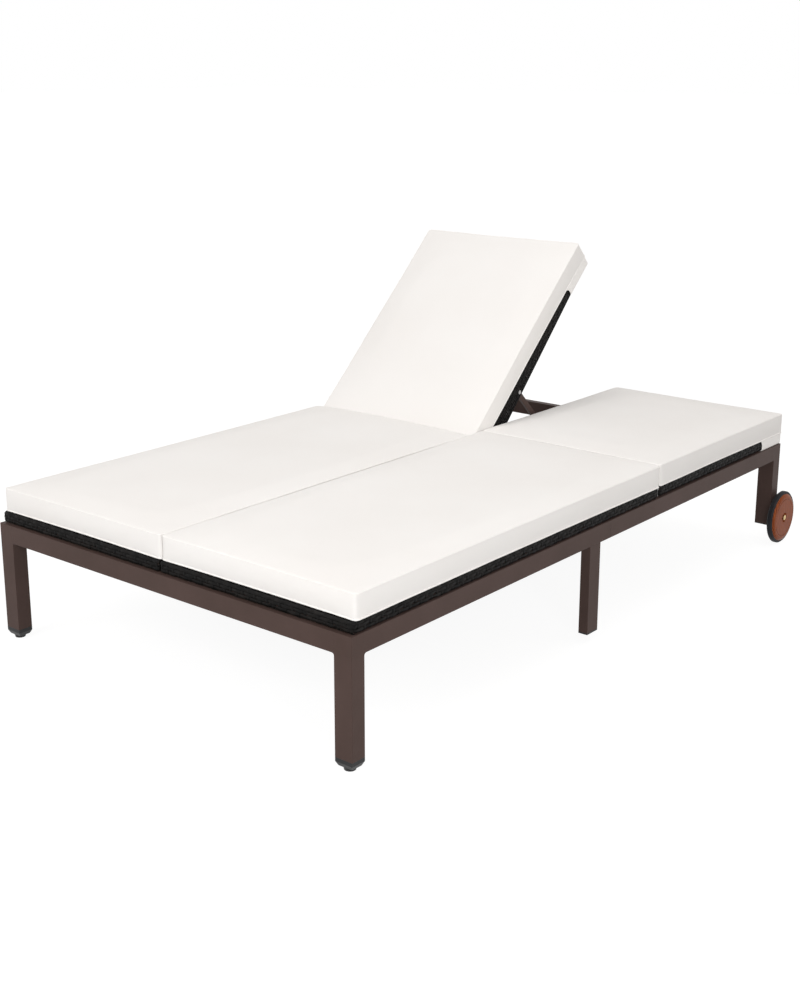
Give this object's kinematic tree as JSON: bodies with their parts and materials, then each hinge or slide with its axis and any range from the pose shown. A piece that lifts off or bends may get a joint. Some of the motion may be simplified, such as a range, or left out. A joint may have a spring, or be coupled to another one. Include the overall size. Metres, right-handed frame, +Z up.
{
  "type": "double reclining lounger",
  "caption": "Low two-person relaxation lounger with side by side cushions, two independently reclining woven backs on notched props, and transport wheels at the head end.",
  "frame": {"origin": "centre of the footprint at floor level", "axes": "+X across to the right seen from the foot end, +Y along the lounger from the foot end to the head end, +Z up"},
  "size_m": [1.2482, 2.048, 0.888],
  "materials": {
    "frame_brown": "satin",
    "woven_black": "satin",
    "cushion_white": "matte",
    "glide_black": "satin",
    "steel": "satin",
    "brass": "satin",
    "wheel_wood": "gloss",
    "tyre_rubber": "matte"
  },
  "bodies": {
    "base": {"foot_rail": "frame_brown", "head_rail": "frame_brown", "mid_cross_rail": "frame_brown", "hinge_cross_rail": "frame_brown", "centre_rail_front": "frame_brown", "centre_rail_rear": "frame_brown", "foot_leg_right": "frame_brown", "foot_leg_left": "frame_brown", "head_leg_right": "frame_brown", "head_leg_left": "frame_brown", "mid_leg_right": "frame_brown", "mid_leg_left": "frame_brown", "side_rail_front_right": "frame_brown", "side_rail_front_left": "frame_brown", "side_rail_rear_right": "frame_brown", "side_rail_rear_left": "frame_brown", "rail_sleeve_right": "steel", "rail_sleeve_left": "steel", "frame_joint_bolts": "steel", "leg_glides": "glide_black", "mid_leg_plugs": "glide_black", "head_leg_plugs": "glide_black", "seat_panel_frame_right": "frame_brown", "seat_panel_frame_left": "frame_brown", "seat_panel_weave_right": "woven_black", "seat_panel_weave_left": "woven_black", "seat_cushion_right": "cushion_white", "seat_cushion_left": "cushion_white", "hinge_fixed_leaves_right": "steel", "hinge_fixed_leaves_left": "steel", "hinge_pins_right": "steel", "hinge_pins_left": "steel", "racks_right": "frame_brown", "racks_left": "frame_brown", "axle_bolts": "brass", "axle_spacers": "steel", "axle_nuts": "steel"},
    "back_right": {"back_panel_frame_right": "frame_brown", "back_panel_weave_right": "woven_black", "back_cushion_right": "cushion_white", "hinge_moving_leaves_right": "steel", "pivot_lugs_right": "frame_brown", "pivot_bolts_right": "steel"},
    "back_left": {"back_panel_frame_left": "frame_brown", "back_panel_weave_left": "woven_black", "back_cushion_left": "cushion_white", "hinge_moving_leaves_left": "steel", "pivot_lugs_left": "frame_brown", "pivot_bolts_left": "steel"},
    "prop_right": {"prop_arms_right": "frame_brown", "prop_rod_right": "frame_brown"},
    "prop_left": {"prop_arms_left": "frame_brown", "prop_rod_left": "frame_brown"},
    "wheel_right": {"wheel_disc_right": "wheel_wood", "wheel_tyre_right": "tyre_rubber"},
    "wheel_left": {"wheel_disc_left": "wheel_wood", "wheel_tyre_left": "tyre_rubber"}
  },
  "joints": [
    {"name": "back_right_tilt", "type": "hinge", "parent": "base", "child": "back_right", "pos_m": [0, 0.222, 0.329], "axis": [1, 0, 0], "range_deg": [0, 58.28], "deforming": ["seat_cushion_right"]},
    {"name": "back_left_tilt", "type": "hinge", "parent": "base", "child": "back_left", "pos_m": [0, 0.222, 0.329], "axis": [1, 0, 0], "range_deg": [-43.71, 14.57], "deforming": ["seat_cushion_left"]},
    {"name": "prop_right_swing", "type": "hinge", "parent": "back_right", "child": "prop_right", "pos_m": [0, 0.46297, 0.2996], "axis": [1, 0, 0], "range_deg": [-118, 0.5]},
    {"name": "prop_left_swing", "type": "hinge", "parent": "back_left", "child": "prop_left", "pos_m": [0, 0.4165, 0.47426], "axis": [1, 0, 0], "range_deg": [-30, 88.5]},
    {"name": "wheel_right_spin", "type": "hinge", "parent": "base", "child": "wheel_right", "pos_m": [0.612, 0.944, 0.08], "axis": [1, 0, 0], "continuous": true},
    {"name": "wheel_left_spin", "type": "hinge", "parent": "base", "child": "wheel_left", "pos_m": [-0.612, 0.944, 0.08], "axis": [1, 0, 0], "continuous": true}
  ],
  "couplings": [
    {"joint": "prop_right_swing", "follows": "back_right_tilt", "ratio": -2.0139},
    {"joint": "prop_left_swing", "follows": "back_left_tilt", "ratio": -2.0139}
  ]
}
